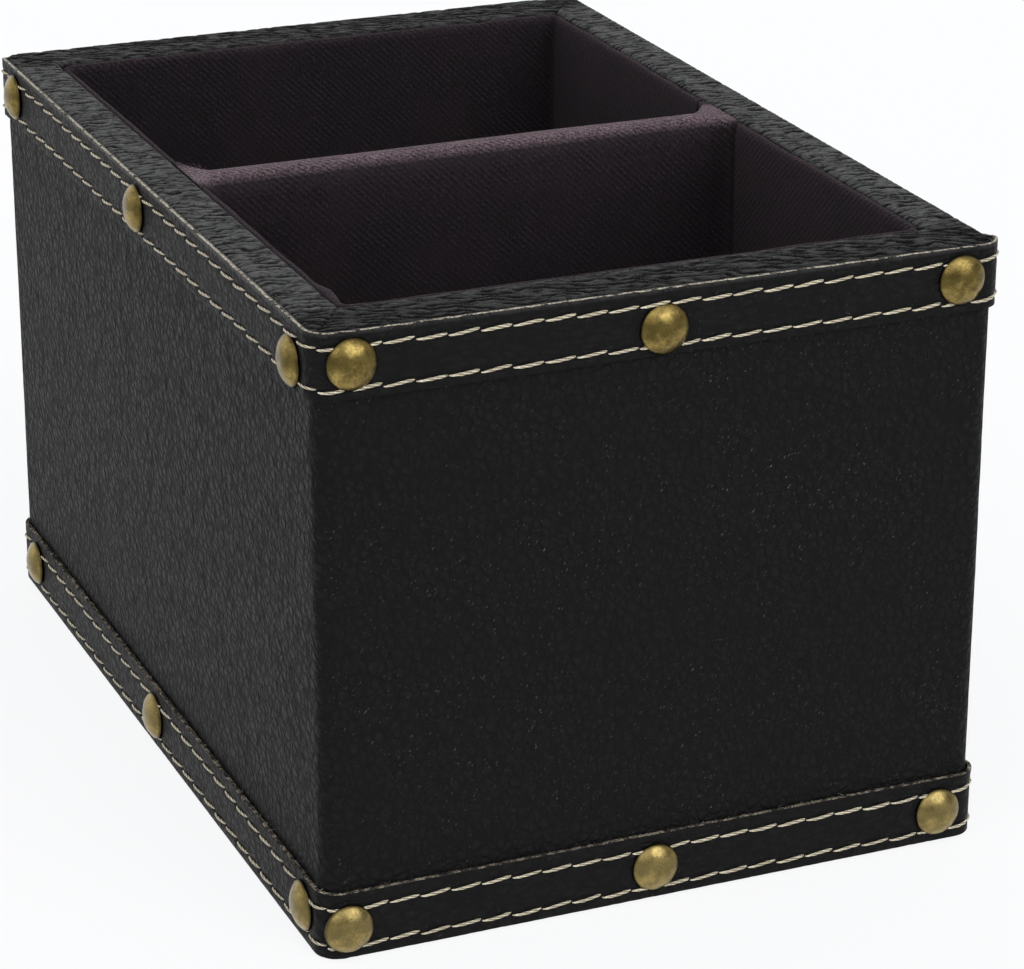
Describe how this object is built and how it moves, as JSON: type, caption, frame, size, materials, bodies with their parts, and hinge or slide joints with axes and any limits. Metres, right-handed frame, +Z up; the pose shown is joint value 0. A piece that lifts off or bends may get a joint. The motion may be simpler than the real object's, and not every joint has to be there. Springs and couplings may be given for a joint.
{
  "type": "remote control holder",
  "caption": "Open-top remote control holder: a faux-leather covered board box with a cloth-lined divider, stitched trim bands and dome-headed brass nails.",
  "frame": {"origin": "middle of the footprint, on the surface that the base sheet rests on", "axes": "X along the narrow front from left to right, the front faces -Y, depth along Y, +Z up"},
  "size_m": [0.1364, 0.1964, 0.118],
  "materials": {
    "board": "matte",
    "liner_card": "matte",
    "cover_leather": "satin",
    "band_leather": "satin",
    "lining_cloth": "matte",
    "base_sheet": "matte",
    "thread": "matte",
    "nail_brass": "satin"
  },
  "bodies": {
    "root": {"front_board": "board", "back_board": "board", "left_board": "board", "right_board": "board", "base_board": "board", "divider_board": "board", "front_liner_card": "liner_card", "back_liner_card": "liner_card", "left_liner_card": "liner_card", "right_liner_card": "liner_card", "front_floor_card": "liner_card", "back_floor_card": "liner_card", "outer_cover": "cover_leather", "top_trim_band": "band_leather", "bottom_trim_band": "band_leather", "front_floor_lining": "lining_cloth", "back_floor_lining": "lining_cloth", "front_compartment_lining": "lining_cloth", "back_compartment_lining": "lining_cloth", "divider_sleeve": "lining_cloth", "base_sheet": "base_sheet", "top_band_upper_stitching": "thread", "top_band_lower_stitching": "thread", "bottom_band_upper_stitching": "thread", "bottom_band_lower_stitching": "thread", "top_front_nails": "nail_brass", "top_right_nails": "nail_brass", "top_back_nails": "nail_brass", "top_left_nails": "nail_brass", "bottom_front_nails": "nail_brass", "bottom_right_nails": "nail_brass", "bottom_back_nails": "nail_brass", "bottom_left_nails": "nail_brass"}
  },
  "joints": []
}
